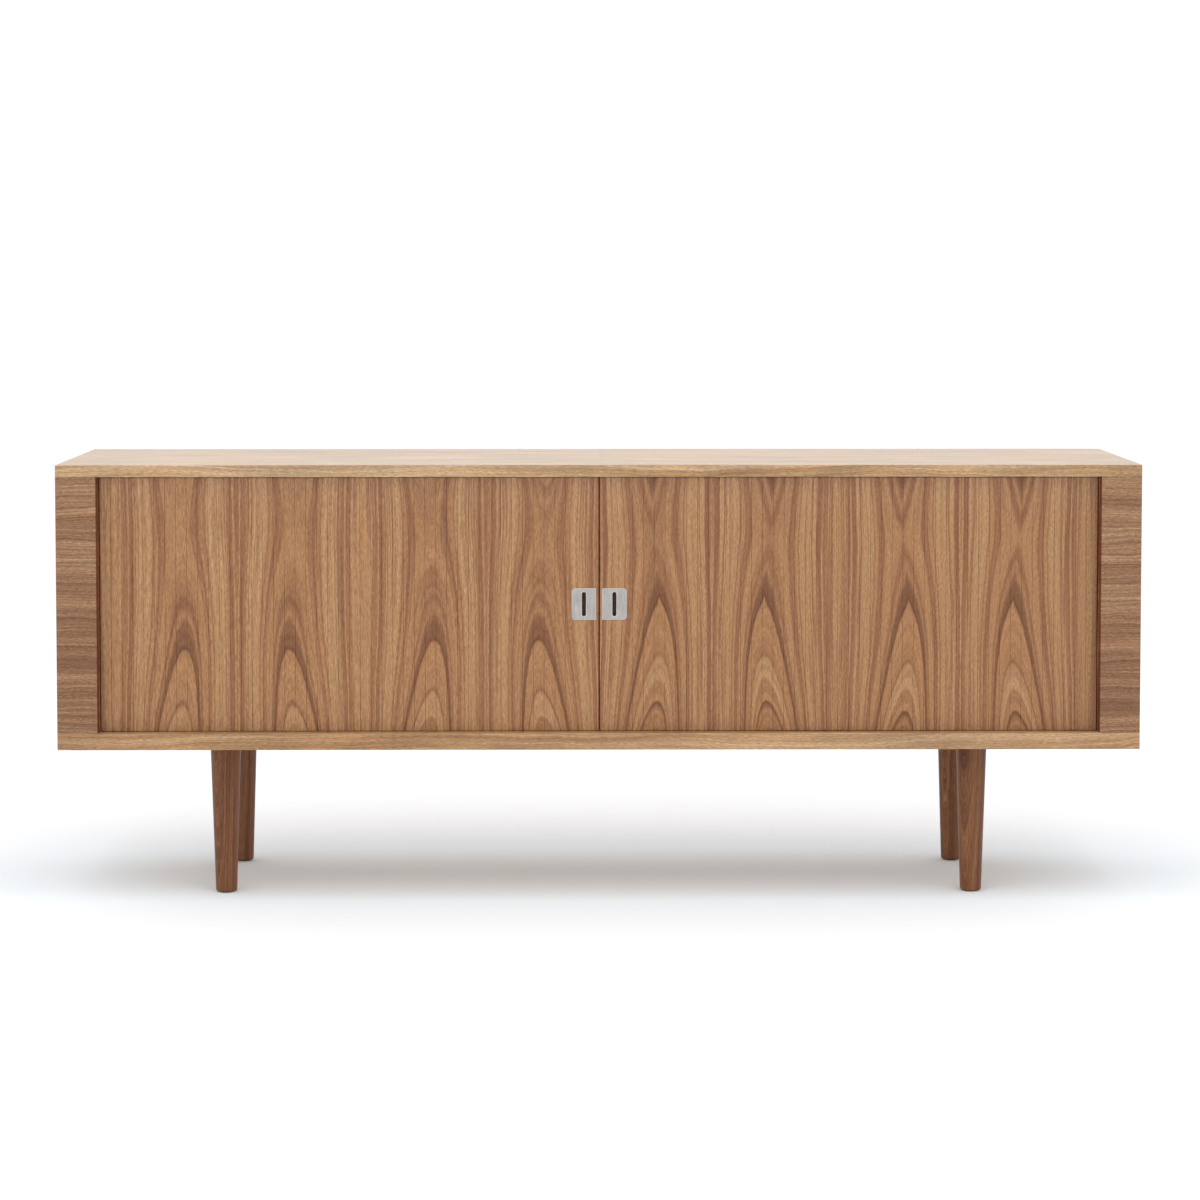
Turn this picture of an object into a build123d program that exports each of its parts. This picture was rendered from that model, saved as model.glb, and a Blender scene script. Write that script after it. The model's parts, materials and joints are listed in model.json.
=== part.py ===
"""Sideboard with two sliding tambour doors, four bays, shelves, trays and turned legs.

Millimetres, +Z up. The origin is on the floor under the middle of the case, and the front faces -Y.
Each sub-part is one STEP file in parts/, named as the piece. Pieces that come in pairs are drawn on
the right-hand side (+X) and mirrored for the left.
"""

import os
from math import degrees, pi

from build123d import *

# Overall size
WIDTH = 1825.0
DEPTH = 460.0
HEIGHT = 737.0
LEG_HEIGHT = 256.0

# Boards of the case
TOP_THICK = 20.0
BOTTOM_THICK = 28.0
SIDE_THICK = 22.0
FRONT_STILE_WIDTH = 68.0
BACK_THICK = 12.0
BACK_INSET = 2.0
REBATE = 10.0
REBATE_GAP = 0.5
EDGE_EASE = 0.8
BOARD_EASE = 1.0

# Boards inside the case
INNER_THICK = 18.0
INNER_SIDE_THICK = 16.0
INNER_BACK_THICK = 8.0
BAY_HALF = 775.0
INNER_FRONT_Y = -183.0
INNER_BACK_Y = 178.0
SHELF_THICK = 16.0
SHELF_GAP = 1.0
SHELF_FRONT_Y = -178.0
SHELF_BACK_Y = 170.0

# Track of the tambours: its centre line, its bend and its groove
TRACK_Y = 198.5
TRACK_X = 880.0
TRACK_RADIUS = 38.0
GROOVE_WIDTH = 7.0
GROOVE_DEPTH = 9.0
GROOVE_END_X = 350.0

# Tambour: slats glued on canvas, with a rigid lead stile
TONGUE_THICK = 5.0
TONGUE_END_GAP = 0.4
SHOULDER_GAP = 1.2
SLAT_THICK = 9.0
SLAT_GAP = 0.25
SLAT_TONGUE_WIDTH = 15.0
FRONT_SLATS = 43
TAIL_SLATS = 7
CANVAS_THICK = 0.8
STILE_INNER_X = 1.0
STILE_OUTER_X = 56.5
STILE_THICK = 18.0
STILE_TONGUE_INSET = 3.0
STILE_EASE = 0.6
STOP_PIN_RADIUS = 3.4
STOP_PIN_BITE = 6.0

# Pull plate, let into the lead stile
PULL_WIDTH = 41.5
PULL_HEIGHT = 53.5
PULL_THICK = 2.5
PULL_PROUD = 0.5
PULL_INNER_X = 5.0
PULL_Z = 500.0
PULL_CORNER = 5.0
PULL_EASE = 0.35
PULL_FIT = 0.15
SLOT_WIDTH = 6.7
SLOT_HEIGHT = 41.0
POCKET_WIDTH = 22.0
POCKET_HEIGHT = 47.0
POCKET_DEPTH = 12.0
POCKET_CORNER = 6.0
STUD_RADIUS = 2.0
STUD_LENGTH = 7.0
STUD_OFFSET = 16.3

# Shelf pins and the rows of holes that take them
PIN_RADIUS = 2.5
PIN_LENGTH = 16.0
PIN_HOLE_DEPTH = 8.5
PIN_ROW_Y = (-130.0, 120.0)
PIN_ROW_PITCH = 32.0
PIN_ROW_HALF_COUNT = 2
PIN_ROW_Z = 500.5

# Trays in the outer right-hand bay
TRAY_COUNT = 4
TRAY_FIRST_Z = 290.0
TRAY_PITCH = 107.0
TRAY_HEIGHT = 70.0
TRAY_SIDE_GAP = 1.0
TRAY_FRONT_Y = -176.0
TRAY_BACK_Y = 168.0
TRAY_WALL = 12.0
TRAY_BACK_WALL = 10.0
TRAY_FLOOR = 5.0
TRAY_FLOOR_Z = 8.0
TRAY_FLOOR_BITE = 5.0
SCOOP_WIDTH = 100.0
SCOOP_DEPTH = 20.0
SCOOP_RADIUS = 12.0
RUNNER_WIDTH = 7.5
RUNNER_HEIGHT = 10.0
RUNNER_Z = 30.5
RUNNER_GAP = 0.5
RUNNER_SET_BACK = 1.0
RUNNER_BACK_Y = 165.0

# Legs and their fittings
LEG_X = 638.0
LEG_Y = 146.0
LEG_TOP_RADIUS = 26.0
LEG_FOOT_RADIUS = 18.0
LEG_FOOT_ROUND = 3.5
GLIDE_RADIUS = 12.0
GLIDE_THICK = 4.0
GLIDE_PROUD = 1.5
INSERT_RADIUS = 8.0
INSERT_LENGTH = 20.0
FLANGE_RADIUS = 11.0
FLANGE_THICK = 1.5
BOLT_RADIUS = 5.0
BOLT_IN_LEG = 40.0
BOLT_HOLE_SPARE = 2.0

# Clearance round small fittings, and how far a cutter runs past the face that it opens
FIT = 0.1
CUTTER_SPARE = 1.0

# Small fixings
SCREW_RADIUS = 1.75
SCREW_HEAD_RADIUS = 3.5
SCREW_LENGTH = 22.0
SCREW_COLUMNS = (-750.0, -450.0, -150.0, 150.0, 450.0, 750.0)
SCREW_ROWS = (400.0, 600.0)
DOWEL_RADIUS = 4.0
DOWEL_HALF = 13.0
DOWEL_Y = (-150.0, -50.0, 50.0, 150.0)

# Places worked out from the sizes above
HALF_WIDTH = WIDTH / 2
FRONT_Y = -DEPTH / 2
BACK_Y = DEPTH / 2
FLOOR_Z = LEG_HEIGHT + BOTTOM_THICK
CEILING_Z = HEIGHT - TOP_THICK
SIDE_INNER_X = HALF_WIDTH - SIDE_THICK
BACK_FACE_Y = BACK_Y - BACK_INSET
BACK_FRONT_Y = BACK_FACE_Y - BACK_THICK
BEND_X = TRACK_X - TRACK_RADIUS
BEND_Y = TRACK_Y - TRACK_RADIUS
SLAT_BACK_INSET = TONGUE_THICK / 2
CANVAS_INSET = SLAT_BACK_INSET + CANVAS_THICK / 2
CANVAS_RADIUS = TRACK_RADIUS - CANVAS_INSET
TAMBOUR_FACE_Y = -(TRACK_Y - SLAT_BACK_INSET) - SLAT_THICK
SLAT_PITCH = (BEND_X - STILE_OUTER_X) / FRONT_SLATS
SLAT_BOTTOM_Z = FLOOR_Z + SHOULDER_GAP
SLAT_TOP_Z = CEILING_Z - SHOULDER_GAP
TONGUE_BOTTOM_Z = FLOOR_Z - GROOVE_DEPTH + TONGUE_END_GAP
TONGUE_TOP_Z = CEILING_Z + GROOVE_DEPTH - TONGUE_END_GAP
BAY_WIDTH = (BAY_HALF - 1.5 * INNER_THICK) / 2
PARTITION_X = INNER_THICK / 2 + BAY_WIDTH
TRAY_LOW_X = PARTITION_X + INNER_THICK + TRAY_SIDE_GAP
TRAY_HIGH_X = BAY_HALF - TRAY_SIDE_GAP


def block(x, y, z):
    """A box that spans the three (low, high) pairs."""
    low, high = zip(x, y, z)
    size = [b - a for a, b in zip(low, high)]
    centre = [(a + b) / 2 for a, b in zip(low, high)]
    return Pos(*centre) * Box(*size)


def rod(x, y, z, radius):
    """An upright cylinder at (x, y) that spans the (low, high) pair z."""
    return Pos(x, y, (z[0] + z[1]) / 2) * Cylinder(radius, z[1] - z[0])


def cross_rod(x, y, z, radius):
    """A cylinder along X that spans the (low, high) pair x."""
    return Pos((x[0] + x[1]) / 2, y, z) * Rot(0, 90, 0) * Cylinder(radius, x[1] - x[0])


def prism(points, z):
    """An upright prism of a plan outline that spans the (low, high) pair z."""
    return Pos(0, 0, z[0]) * extrude(make_face(Polyline(*points, close=True)), z[1] - z[0])


def mirrored(shape):
    """The left-hand copy of a right-hand shape."""
    return shape.mirror(Plane.YZ)


def both(shape):
    """A right-hand shape with its left-hand copy."""
    return [shape, mirrored(shape)]


def cut(shape, tools):
    """The shape less every tool."""
    for tool in tools:
        shape = shape - tool
    return shape


def eased_front(board):
    """A board with its front edges rounded over."""
    return fillet(board.faces().sort_by(Axis.Y)[0].edges(), BOARD_EASE)


# Track and tambour


def band(outer, inner, start_x, end):
    """A flat strip along the right-hand track, between two insets from its centre line.

    It starts on the front run at start_x. end is the X where it stops on the back run, or, given as
    (None, y), the Y where it stops on the run beside the end panel.
    """

    def line(inset):
        x = TRACK_X - inset
        y = TRACK_Y - inset
        tail = [(x, end[1])] if end[0] is None else [(x, y), (end[0], y)]
        return FilletPolyline((start_x, -y), (x, -y), *tail, radius=TRACK_RADIUS - inset)

    edge, other = line(outer), line(inner)
    ends = [Line(edge @ 0, other @ 0), Line(edge @ 1, other @ 1)]
    return make_face([*edge.edges(), *other.edges(), *ends])


def track_groove():
    """The groove's cutter for one door, as deep as the groove, with its base at z = 0."""
    half = GROOVE_WIDTH / 2
    return extrude(band(-half, half, 0, (GROOVE_END_X, None)), GROOVE_DEPTH)


def slat_place(distance):
    """Where the middle of a slat's back lies, this far along the canvas from the lead stile."""
    straight = BEND_X - STILE_OUTER_X
    bend = CANVAS_RADIUS * pi / 2
    back = CANVAS_THICK / 2
    if distance < straight:
        return Pos(STILE_OUTER_X + distance, -BEND_Y - CANVAS_RADIUS - back, 0)
    if distance < straight + bend:
        turn = degrees((distance - straight) / CANVAS_RADIUS)
        return Pos(BEND_X, -BEND_Y, 0) * Rot(0, 0, turn) * Pos(0, -CANVAS_RADIUS - back, 0)
    along = distance - straight - bend
    return Pos(BEND_X + CANVAS_RADIUS + back, along - BEND_Y, 0) * Rot(0, 0, 90)


def slat():
    """One slat with its tongues, its back at y = 0 and its face towards -Y."""
    half = (SLAT_PITCH - SLAT_GAP) / 2
    tongue = SLAT_TONGUE_WIDTH / 2
    body = block((-half, half), (-SLAT_THICK, 0), (SLAT_BOTTOM_Z, SLAT_TOP_Z))
    return body + block((-tongue, tongue), (-TONGUE_THICK, 0), (TONGUE_BOTTOM_Z, TONGUE_TOP_Z))


def tambour_slats():
    """Every slat of one door: the flat run across the front and the tail round the corner."""
    one = slat()
    return [slat_place((i + 0.5) * SLAT_PITCH) * one for i in range(FRONT_SLATS + TAIL_SLATS)]


def tambour_canvas():
    """The canvas that the slats are glued to, from the lead stile to the last slat."""
    straight = BEND_X - STILE_OUTER_X
    tail = (FRONT_SLATS + TAIL_SLATS) * SLAT_PITCH - straight - CANVAS_RADIUS * pi / 2
    half = CANVAS_THICK / 2
    strip = band(CANVAS_INSET - half, CANVAS_INSET + half, STILE_OUTER_X, (None, tail - BEND_Y))
    return Pos(0, 0, SLAT_BOTTOM_Z) * extrude(strip, SLAT_TOP_Z - SLAT_BOTTOM_Z)


def rounded_outline(width, height, radius):
    """A rectangle seen from the front, with every corner rounded."""
    return Plane.XZ * RectangleRounded(width, height, radius)


def pull_outline(grow):
    """The pull's outline seen from the front: rounded away from the meeting line, square beside it."""
    outline = Rectangle(PULL_WIDTH + 2 * grow, PULL_HEIGHT + 2 * grow)
    outer = outline.vertices().group_by(Axis.X)[-1]
    return Plane.XZ * fillet(outer, PULL_CORNER + grow)


def pull_centre(y):
    """The middle of the right-hand pull at depth y."""
    return Pos(PULL_INNER_X + PULL_WIDTH / 2, y, PULL_Z)


def stud(grow):
    """One stud behind the pull plate, from the plate's back."""
    return Rot(-90, 0, 0) * Pos(0, 0, STUD_LENGTH / 2) * Cylinder(STUD_RADIUS + grow, STUD_LENGTH)


def studs(grow):
    """The two studs, placed behind the right-hand pull."""
    back = TAMBOUR_FACE_Y - PULL_PROUD + PULL_THICK
    return [pull_centre(back) * Pos(x, 0, 0) * stud(grow) for x in (-STUD_OFFSET, STUD_OFFSET)]


def pull():
    """The right-hand pull: a thin plate with an upright slot and two studs."""
    plate = extrude(pull_outline(0), PULL_THICK)
    slot = Plane.XZ * Rot(0, 0, 90) * SlotOverall(SLOT_HEIGHT, SLOT_WIDTH)
    plate = plate - extrude(slot, PULL_THICK)
    plate = fillet(plate.faces().sort_by(Axis.Y)[0].edges(), PULL_EASE)
    back = TAMBOUR_FACE_Y - PULL_PROUD + PULL_THICK
    whole = pull_centre(back) * plate
    for one in studs(0):
        whole = whole + one
    return whole


def lead_stile():
    """The right-hand lead stile, with tongues, the pull's recess, the finger pocket and stud holes."""
    body = block(
        (STILE_INNER_X, STILE_OUTER_X),
        (TAMBOUR_FACE_Y, TAMBOUR_FACE_Y + STILE_THICK),
        (SLAT_BOTTOM_Z, SLAT_TOP_Z),
    )
    body = fillet(body.edges().filter_by(Axis.Z), STILE_EASE)
    tongue_y = -TRACK_Y - TONGUE_THICK / 2
    body = body + block(
        (STILE_INNER_X + STILE_TONGUE_INSET, STILE_OUTER_X - STILE_TONGUE_INSET),
        (tongue_y, tongue_y + TONGUE_THICK),
        (TONGUE_BOTTOM_Z, TONGUE_TOP_Z),
    )
    recess_depth = PULL_THICK - PULL_PROUD
    recess = extrude(pull_outline(PULL_FIT), recess_depth)
    pocket = extrude(rounded_outline(POCKET_WIDTH, POCKET_HEIGHT, POCKET_CORNER), POCKET_DEPTH)
    body = body - pull_centre(TAMBOUR_FACE_Y + recess_depth) * recess
    body = body - pull_centre(TAMBOUR_FACE_Y + POCKET_DEPTH + recess_depth) * pocket
    return cut(body, studs(FIT))


def stop_pins(grow=0.0):
    """The two pins at the middle of the track, one in the top and one in the bottom."""
    clear = TONGUE_END_GAP
    low = (FLOOR_Z - GROOVE_DEPTH - STOP_PIN_BITE, FLOOR_Z - clear)
    high = (CEILING_Z + clear, CEILING_Z + GROOVE_DEPTH + STOP_PIN_BITE)
    return [rod(0, -TRACK_Y, span, STOP_PIN_RADIUS + grow) for span in (low, high)]


# Small fixings


def back_screw(grow=0.0):
    """A countersunk screw that points along -Y, its head's face at y = 0."""
    shank = SCREW_RADIUS + grow
    head = SCREW_HEAD_RADIUS + grow
    profile = [(0, 0), (head, 0), (shank, shank - head), (shank, -SCREW_LENGTH - grow)]
    return revolve(make_face(Polyline(*profile, (0, -SCREW_LENGTH - grow), close=True)), Axis.Y)


def back_screws(grow=0.0):
    """The screws round the back panel's edge."""
    high, low = CEILING_Z + REBATE / 2, FLOOR_Z - REBATE / 2
    places = [(x, z) for x in SCREW_COLUMNS for z in (low, high)]
    beside = SIDE_INNER_X + REBATE / 2
    places += [(x, z) for x in (-beside, beside) for z in SCREW_ROWS]
    return [Pos(x, BACK_FACE_Y, z) * back_screw(grow) for x, z in places]


def end_dowels(grow=0.0):
    """The dowels that tie both end panels to the top and the bottom."""
    x = SIDE_INNER_X + SIDE_THICK / 2
    reach = DOWEL_HALF + grow
    spans = [(z - reach, z + reach) for z in (FLOOR_Z, CEILING_Z)]
    right = [rod(x, y, span, DOWEL_RADIUS + grow) for y in DOWEL_Y for span in spans]
    return right + [mirrored(one) for one in right]


def pin_z(step):
    """The height of a shelf-pin hole, counted in steps from the middle of its row."""
    return PIN_ROW_Z + step * PIN_ROW_PITCH


def pin_holes(face_x, inward):
    """The holes in a board's face at face_x; inward is the X direction into the board."""
    span = sorted((face_x, face_x + inward * PIN_HOLE_DEPTH))
    steps = range(-PIN_ROW_HALF_COUNT, PIN_ROW_HALF_COUNT + 1)
    radius = PIN_RADIUS + FIT
    return [cross_rod(span, y, pin_z(step), radius) for y in PIN_ROW_Y for step in steps]


def shelf_pins(low_x, high_x, step):
    """The four pins under a shelf in the bay from low_x to high_x."""
    half = PIN_LENGTH / 2
    spans = [(x - half, x + half) for x in (low_x, high_x)]
    return [cross_rod(span, y, pin_z(step), PIN_RADIUS) for span in spans for y in PIN_ROW_Y]


# Case


def rebate():
    """The cutter of the rebate round the back panel."""
    x = SIDE_INNER_X + REBATE
    return block((-x, x), (BACK_FRONT_Y, BACK_Y + CUTTER_SPARE), (FLOOR_Z - REBATE, CEILING_Z + REBATE))


def top_panel():
    """The top, with the track grooves, the rebate and the fixings' holes on its underside."""
    board = block((-HALF_WIDTH, HALF_WIDTH), (FRONT_Y, BACK_Y), (CEILING_Z, HEIGHT))
    board = fillet(board.edges(), EDGE_EASE)
    grooves = both(Pos(0, 0, CEILING_Z) * track_groove())
    return cut(board, [*grooves, rebate(), *back_screws(FIT), *end_dowels(FIT), *stop_pins(FIT)])


def bottom_panel():
    """The bottom, with the track grooves and the rebate above, and the leg inserts' holes below."""
    board = block((-HALF_WIDTH, HALF_WIDTH), (FRONT_Y, BACK_Y), (LEG_HEIGHT, FLOOR_Z))
    board = fillet(board.edges(), EDGE_EASE)
    grooves = both(Pos(0, 0, FLOOR_Z - GROOVE_DEPTH) * track_groove())
    board = cut(board, [*grooves, rebate(), *back_screws(FIT), *end_dowels(FIT), *stop_pins(FIT)])
    return cut(board, leg_fittings(insert_body, FIT))


def side_panel():
    """The right-hand end panel, mitred to its front stile."""
    tip = EDGE_EASE
    outline = [
        (HALF_WIDTH, FRONT_Y + tip),
        (HALF_WIDTH, BACK_Y),
        (SIDE_INNER_X, BACK_Y),
        (SIDE_INNER_X, FRONT_Y + SIDE_THICK),
        (HALF_WIDTH - tip / 2, FRONT_Y + tip / 2),
    ]
    panel = prism(outline, (FLOOR_Z, CEILING_Z))
    return cut(panel, [rebate(), *back_screws(FIT), *end_dowels(FIT)])


def front_stile():
    """The right-hand front corner stile, mitred to the end panel."""
    tip = EDGE_EASE
    inner_x = HALF_WIDTH - FRONT_STILE_WIDTH
    outline = [
        (HALF_WIDTH - tip, FRONT_Y),
        (HALF_WIDTH - tip / 2, FRONT_Y + tip / 2),
        (SIDE_INNER_X, FRONT_Y + SIDE_THICK),
        (inner_x, FRONT_Y + SIDE_THICK),
        (inner_x, FRONT_Y),
    ]
    return prism(outline, (FLOOR_Z, CEILING_Z))


def back_panel():
    """The outer back panel, screwed into its rebate."""
    x = SIDE_INNER_X + REBATE - REBATE_GAP
    low, high = FLOOR_Z - REBATE + REBATE_GAP, CEILING_Z + REBATE - REBATE_GAP
    panel = block((-x, x), (BACK_FRONT_Y, BACK_FACE_Y), (low, high))
    return cut(panel, back_screws(FIT))


def inner_side():
    """The right-hand inner end panel, which keeps the contents off the stored door."""
    span = (BAY_HALF, BAY_HALF + INNER_SIDE_THICK)
    return eased_front(block(span, (INNER_FRONT_Y, INNER_BACK_Y), (FLOOR_Z, CEILING_Z)))


def inner_back():
    """The inner back panel, in front of the stored doors."""
    x = BAY_HALF + INNER_SIDE_THICK
    return block((-x, x), (INNER_BACK_Y, INNER_BACK_Y + INNER_BACK_THICK), (FLOOR_Z, CEILING_Z))


def partition(low_x):
    """An upright board between two bays, its left face at low_x."""
    span = (low_x, low_x + INNER_THICK)
    return eased_front(block(span, (INNER_FRONT_Y, INNER_BACK_Y), (FLOOR_Z, CEILING_Z)))


def shelf(low_x, high_x, step):
    """A shelf that lies on its pins in the bay from low_x to high_x."""
    z = pin_z(step) + PIN_RADIUS
    span = (low_x + SHELF_GAP, high_x - SHELF_GAP)
    return eased_front(block(span, (SHELF_FRONT_Y, SHELF_BACK_Y), (z, z + SHELF_THICK)))


# Trays


def tray_floor(z, grow=0.0):
    """The floor of the tray whose lowest edge is at z, let into its four walls."""
    bite = TRAY_FLOOR_BITE
    return block(
        (TRAY_LOW_X + TRAY_WALL - bite, TRAY_HIGH_X - TRAY_WALL + bite),
        (TRAY_FRONT_Y + TRAY_WALL - bite, TRAY_BACK_Y - TRAY_BACK_WALL + bite),
        (z + TRAY_FLOOR_Z - grow, z + TRAY_FLOOR_Z + TRAY_FLOOR + grow),
    )


def tray_front(z):
    """A tray's front, with a scooped finger grip in its top edge."""
    depth = (TRAY_FRONT_Y, TRAY_FRONT_Y + TRAY_WALL)
    board = eased_front(block((TRAY_LOW_X, TRAY_HIGH_X), depth, (z, z + TRAY_HEIGHT)))
    scoop = rounded_outline(SCOOP_WIDTH, 2 * SCOOP_DEPTH, SCOOP_RADIUS)
    middle = (TRAY_LOW_X + TRAY_HIGH_X) / 2
    tool = extrude(scoop, TRAY_WALL + 2 * CUTTER_SPARE)
    return board - Pos(middle, depth[1] + CUTTER_SPARE, z + TRAY_HEIGHT) * tool - tray_floor(z)


def tray_side(z):
    """A tray's right-hand side, with the groove that hangs on the runner."""
    depth = (TRAY_FRONT_Y + TRAY_WALL, TRAY_BACK_Y)
    board = block((TRAY_HIGH_X - TRAY_WALL, TRAY_HIGH_X), depth, (z, z + TRAY_HEIGHT))
    inner_x = BAY_HALF - RUNNER_WIDTH - RUNNER_GAP
    low = z + RUNNER_Z - RUNNER_GAP
    groove = block((inner_x, BAY_HALF), depth, (low, low + RUNNER_HEIGHT + 2 * RUNNER_GAP))
    return board - groove - tray_floor(z)


def tray_sides(z):
    """Both sides of a tray."""
    right = tray_side(z)
    middle = (TRAY_LOW_X + TRAY_HIGH_X) / 2
    return [right.mirror(Plane.YZ.offset(middle)), right]


def tray_back(z):
    """A tray's back, between its sides."""
    span = (TRAY_LOW_X + TRAY_WALL, TRAY_HIGH_X - TRAY_WALL)
    depth = (TRAY_BACK_Y - TRAY_BACK_WALL, TRAY_BACK_Y)
    return block(span, depth, (z, z + TRAY_HEIGHT)) - tray_floor(z)


def tray_runners():
    """The runner strips on both walls of the tray bay."""
    front_y = TRAY_FRONT_Y + TRAY_WALL + RUNNER_SET_BACK
    spans = [
        (PARTITION_X + INNER_THICK, PARTITION_X + INNER_THICK + RUNNER_WIDTH),
        (BAY_HALF - RUNNER_WIDTH, BAY_HALF),
    ]
    heights = [tray_z(i) + RUNNER_Z for i in range(TRAY_COUNT)]
    return [
        block(span, (front_y, RUNNER_BACK_Y), (z, z + RUNNER_HEIGHT))
        for z in heights
        for span in spans
    ]


def tray_z(index):
    """The lowest edge of a tray, counted from the bottom of the bay."""
    return TRAY_FIRST_Z + index * TRAY_PITCH


# Legs


def leg():
    """A turned leg with the hanger bolt's hole in its top and the glide's recess in its foot."""
    height = LEG_HEIGHT - GLIDE_PROUD
    body = Cone(LEG_FOOT_RADIUS, LEG_TOP_RADIUS, height)
    body = fillet(body.edges().sort_by(Axis.Z)[0], LEG_FOOT_ROUND)
    body = Pos(0, 0, GLIDE_PROUD + height / 2) * body
    bolt_hole = rod(0, 0, (LEG_HEIGHT - BOLT_IN_LEG - BOLT_HOLE_SPARE, LEG_HEIGHT), BOLT_RADIUS + FIT)
    glide_recess = rod(0, 0, (GLIDE_PROUD, GLIDE_THICK), GLIDE_RADIUS + FIT)
    return body - bolt_hole - glide_recess


def glide(_grow=0.0):
    """The round glide under a foot."""
    return rod(0, 0, (0, GLIDE_THICK), GLIDE_RADIUS)


def insert_body(grow=0.0):
    """The flanged outside of a threaded insert."""
    body = rod(0, 0, (LEG_HEIGHT, LEG_HEIGHT + INSERT_LENGTH + grow), INSERT_RADIUS + grow)
    return body + rod(0, 0, (LEG_HEIGHT, LEG_HEIGHT + FLANGE_THICK + grow), FLANGE_RADIUS + grow)


def insert(_grow=0.0):
    """A threaded insert with its bore."""
    bore = rod(0, 0, (LEG_HEIGHT, LEG_HEIGHT + INSERT_LENGTH), BOLT_RADIUS + FIT)
    return insert_body() - bore


def hanger_bolt(_grow=0.0):
    """The bolt that joins a leg to its insert."""
    return rod(0, 0, (LEG_HEIGHT - BOLT_IN_LEG, LEG_HEIGHT + INSERT_LENGTH), BOLT_RADIUS)


def leg_fittings(make, grow=0.0):
    """One fitting at each of the four legs."""
    one = make(grow)
    return [Pos(x, y, 0) * one for x in (-LEG_X, LEG_X) for y in (-LEG_Y, LEG_Y)]


# Every piece by name


def case_pieces():
    """The boards that show, the back's screws and the dowels."""
    side, stile = side_panel(), front_stile()
    return {
        "top_panel": top_panel(),
        "bottom_panel": bottom_panel(),
        "left_side_panel": mirrored(side),
        "right_side_panel": side,
        "left_front_stile": mirrored(stile),
        "right_front_stile": stile,
        "back_panel": back_panel(),
        "back_panel_screws": back_screws(),
        "side_panel_dowels": end_dowels(),
        "door_stop_pins": stop_pins(),
    }


def inner_pieces():
    """The boards inside the case, the shelves and their pins."""
    outer_face = PARTITION_X + INNER_THICK
    half = INNER_THICK / 2
    side = inner_side()
    bays = {
        "far_left_shelf": (-BAY_HALF, -outer_face, 0),
        "left_shelf": (-PARTITION_X, -half, 1),
        "right_shelf": (half, PARTITION_X, 0),
    }
    left = partition(-outer_face)
    left = cut(left, pin_holes(-outer_face, 1) + pin_holes(-PARTITION_X, -1))
    middle = cut(partition(-half), pin_holes(-half, 1) + pin_holes(half, -1))
    pieces = {
        "left_inner_side": cut(mirrored(side), pin_holes(-BAY_HALF, -1)),
        "right_inner_side": side,
        "inner_back_panel": inner_back(),
        "left_partition": left,
        "centre_partition": middle,
        "right_partition": cut(partition(PARTITION_X), pin_holes(PARTITION_X, 1)),
        "shelf_pins": [pin for bay in bays.values() for pin in shelf_pins(*bay)],
        "tray_runners": tray_runners(),
    }
    pieces.update({name: shelf(*bay) for name, bay in bays.items()})
    return pieces


def door_pieces():
    """The two tambours: slats, canvas, lead stile and pull of each."""
    right = {
        "tambour_slats": tambour_slats(),
        "tambour_canvas": [tambour_canvas()],
        "lead_stile": [lead_stile()],
        "pull": [pull()],
    }
    pieces = {}
    for name, shapes in right.items():
        pieces["left_" + name] = [mirrored(shape) for shape in shapes]
        pieces["right_" + name] = shapes
    return pieces


def tray_pieces():
    """The pieces of every tray, numbered from the lowest tray."""
    pieces = {}
    for index in range(TRAY_COUNT):
        z = tray_z(index)
        name = f"tray_{index + 1}_"
        pieces[name + "front"] = tray_front(z)
        pieces[name + "sides"] = tray_sides(z)
        pieces[name + "back"] = tray_back(z)
        pieces[name + "floor"] = tray_floor(z)
    return pieces


def leg_pieces():
    """The legs and their fittings."""
    one = leg()
    names = {"front": -LEG_Y, "back": LEG_Y}
    pieces = {}
    for row, y in names.items():
        pieces[row + "_left_leg"] = Pos(-LEG_X, y, 0) * one
        pieces[row + "_right_leg"] = Pos(LEG_X, y, 0) * one
    pieces["leg_inserts"] = leg_fittings(insert)
    pieces["leg_hanger_bolts"] = leg_fittings(hanger_bolt)
    pieces["foot_glides"] = leg_fittings(glide)
    return pieces


def save(name, shape):
    """Writes one piece, or a group of separate like pieces, as a STEP file."""
    shapes = shape if isinstance(shape, list) else [shape]
    solids = [solid for one in shapes for solid in one.solids()]
    export_step(solids[0] if len(solids) == 1 else Compound(solids), f"parts/{name}.step")


os.makedirs("parts", exist_ok=True)
for group in (case_pieces, inner_pieces, door_pieces, tray_pieces, leg_pieces):
    for piece, shape in group().items():
        save(piece, shape)
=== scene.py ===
"""The looks of the tambour sideboard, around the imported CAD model. Metres, +Z up, front towards -Y."""

import json
import math

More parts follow.
